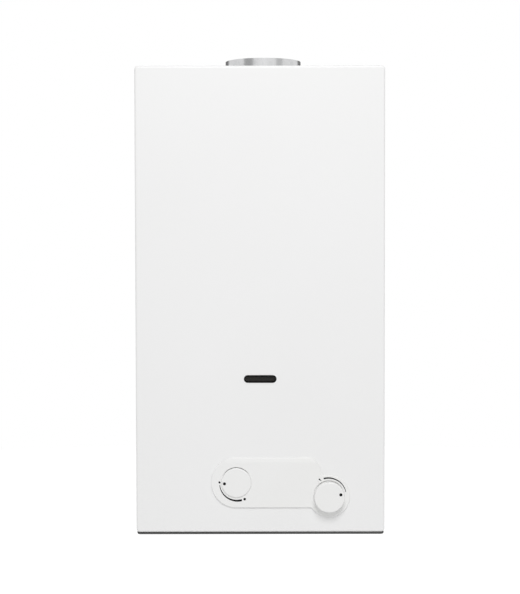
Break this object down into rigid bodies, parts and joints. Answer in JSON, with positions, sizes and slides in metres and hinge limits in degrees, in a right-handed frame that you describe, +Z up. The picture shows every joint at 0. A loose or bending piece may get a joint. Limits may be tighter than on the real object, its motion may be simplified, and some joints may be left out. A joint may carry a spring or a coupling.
{
  "type": "gas water heater",
  "caption": "Wall-hung instantaneous gas water heater: white sheet-steel cover, round flue collar, sight window and control panel with knobs over a burner, copper heat exchanger and fan.",
  "frame": {"origin": "on the wall plane, below the middle of the back plate, level with the cover's lower edge", "axes": "+Z up, +X to the right seen from the front, +Y into the wall; the front faces -Y"},
  "size_m": [0.354, 0.2365, 0.6858],
  "materials": {
    "white_enamel": "gloss",
    "white_plastic": "satin",
    "black_plastic": "satin",
    "smoked_glass": "gloss",
    "mica": "gloss",
    "dark_steel": "satin",
    "galvanised_steel": "satin",
    "zinc_fasteners": "bright",
    "motor_steel": "satin",
    "burner_steel": "satin",
    "copper": "satin",
    "brass": "satin",
    "cast_aluminium": "cast",
    "ceramic": "glazed",
    "black_rubber": "matte",
    "red_silicone": "satin",
    "grey_insulation": "satin",
    "clear_silicone": "satin",
    "grey_plastic": "satin"
  },
  "bodies": {
    "chassis": {"top_plate": "white_enamel", "gas_solenoid": "black_plastic", "mains_gland": "black_plastic", "sight_mica": "mica", "bottom_tray": "dark_steel", "back_plate": "galvanised_steel", "flue_collar": "galvanised_steel", "flue_hood": "galvanised_steel", "fan_scroll": "galvanised_steel", "fan_front_plate": "galvanised_steel", "flue_transition": "galvanised_steel", "exchanger_brackets": "galvanised_steel", "burner_frame": "galvanised_steel", "electrode_plate": "galvanised_steel", "casing_screws": "zinc_fasteners", "valve_screws": "zinc_fasteners", "collar_rivets": "zinc_fasteners", "fan_motor": "motor_steel", "overheat_thermostat": "motor_steel", "burner_bars": "burner_steel", "exchanger_shell": "copper", "exchanger_fins": "copper", "exchanger_tubes": "copper", "water_coil": "copper", "hot_pipe": "copper", "cold_pipe": "copper", "pipe_union_nuts": "brass", "water_valve_body": "brass", "water_valve_cover": "brass", "gas_injectors": "brass", "gas_inlet_nipple": "brass", "water_nipples": "brass", "drain_plug": "brass", "gas_valve_body": "cast_aluminium", "valve_caps": "cast_aluminium", "gas_manifold": "cast_aluminium", "ignition_electrode": "ceramic", "flame_sensor": "ceramic", "diaphragm": "black_rubber", "electrode_boots": "red_silicone", "electrode_leads": "red_silicone", "wiring": "grey_insulation", "pressure_hose": "clear_silicone", "control_box": "grey_plastic", "control_box_lid": "grey_plastic", "pressure_switch": "grey_plastic"},
    "front_cover_set": {"front_cover": "white_enamel", "control_fascia": "white_plastic", "sight_window_bezel": "black_plastic", "sight_glass": "smoked_glass"},
    "gas_control": {"gas_knob": "white_plastic", "gas_spindle": "brass"},
    "water_control": {"water_knob": "white_plastic", "water_spindle": "brass"},
    "fan_rotor": {"fan_impeller": "galvanised_steel", "fan_shaft": "zinc_fasteners", "cooling_fan": "black_plastic"},
    "diaphragm_rod": {"push_rod": "brass"}
  },
  "joints": [
    {"name": "gas_knob_turn", "type": "hinge", "parent": "chassis", "child": "gas_control", "pos_m": [-0.034, -0.2, 0.0705], "axis": [0, -1, 0], "range_deg": [0, 117]},
    {"name": "water_knob_turn", "type": "hinge", "parent": "chassis", "child": "water_control", "pos_m": [0.0965, -0.2, 0.0515], "axis": [0, -1, 0], "range_deg": [0, 104]},
    {"name": "fan_spin", "type": "hinge", "parent": "chassis", "child": "fan_rotor", "pos_m": [-0.047, -0.1, 0.549], "axis": [0, -1, 0], "continuous": true},
    {"name": "diaphragm_rod_push", "type": "slide", "parent": "chassis", "child": "diaphragm_rod", "axis": [-1, 0, 0], "range_m": [0, 0.004], "stiffness_N_per_m": 400},
    {"name": "cover_draw_off", "type": "slide", "parent": "chassis", "child": "front_cover_set", "axis": [0, -1, 0], "range_m": [0, 0.26]}
  ]
}
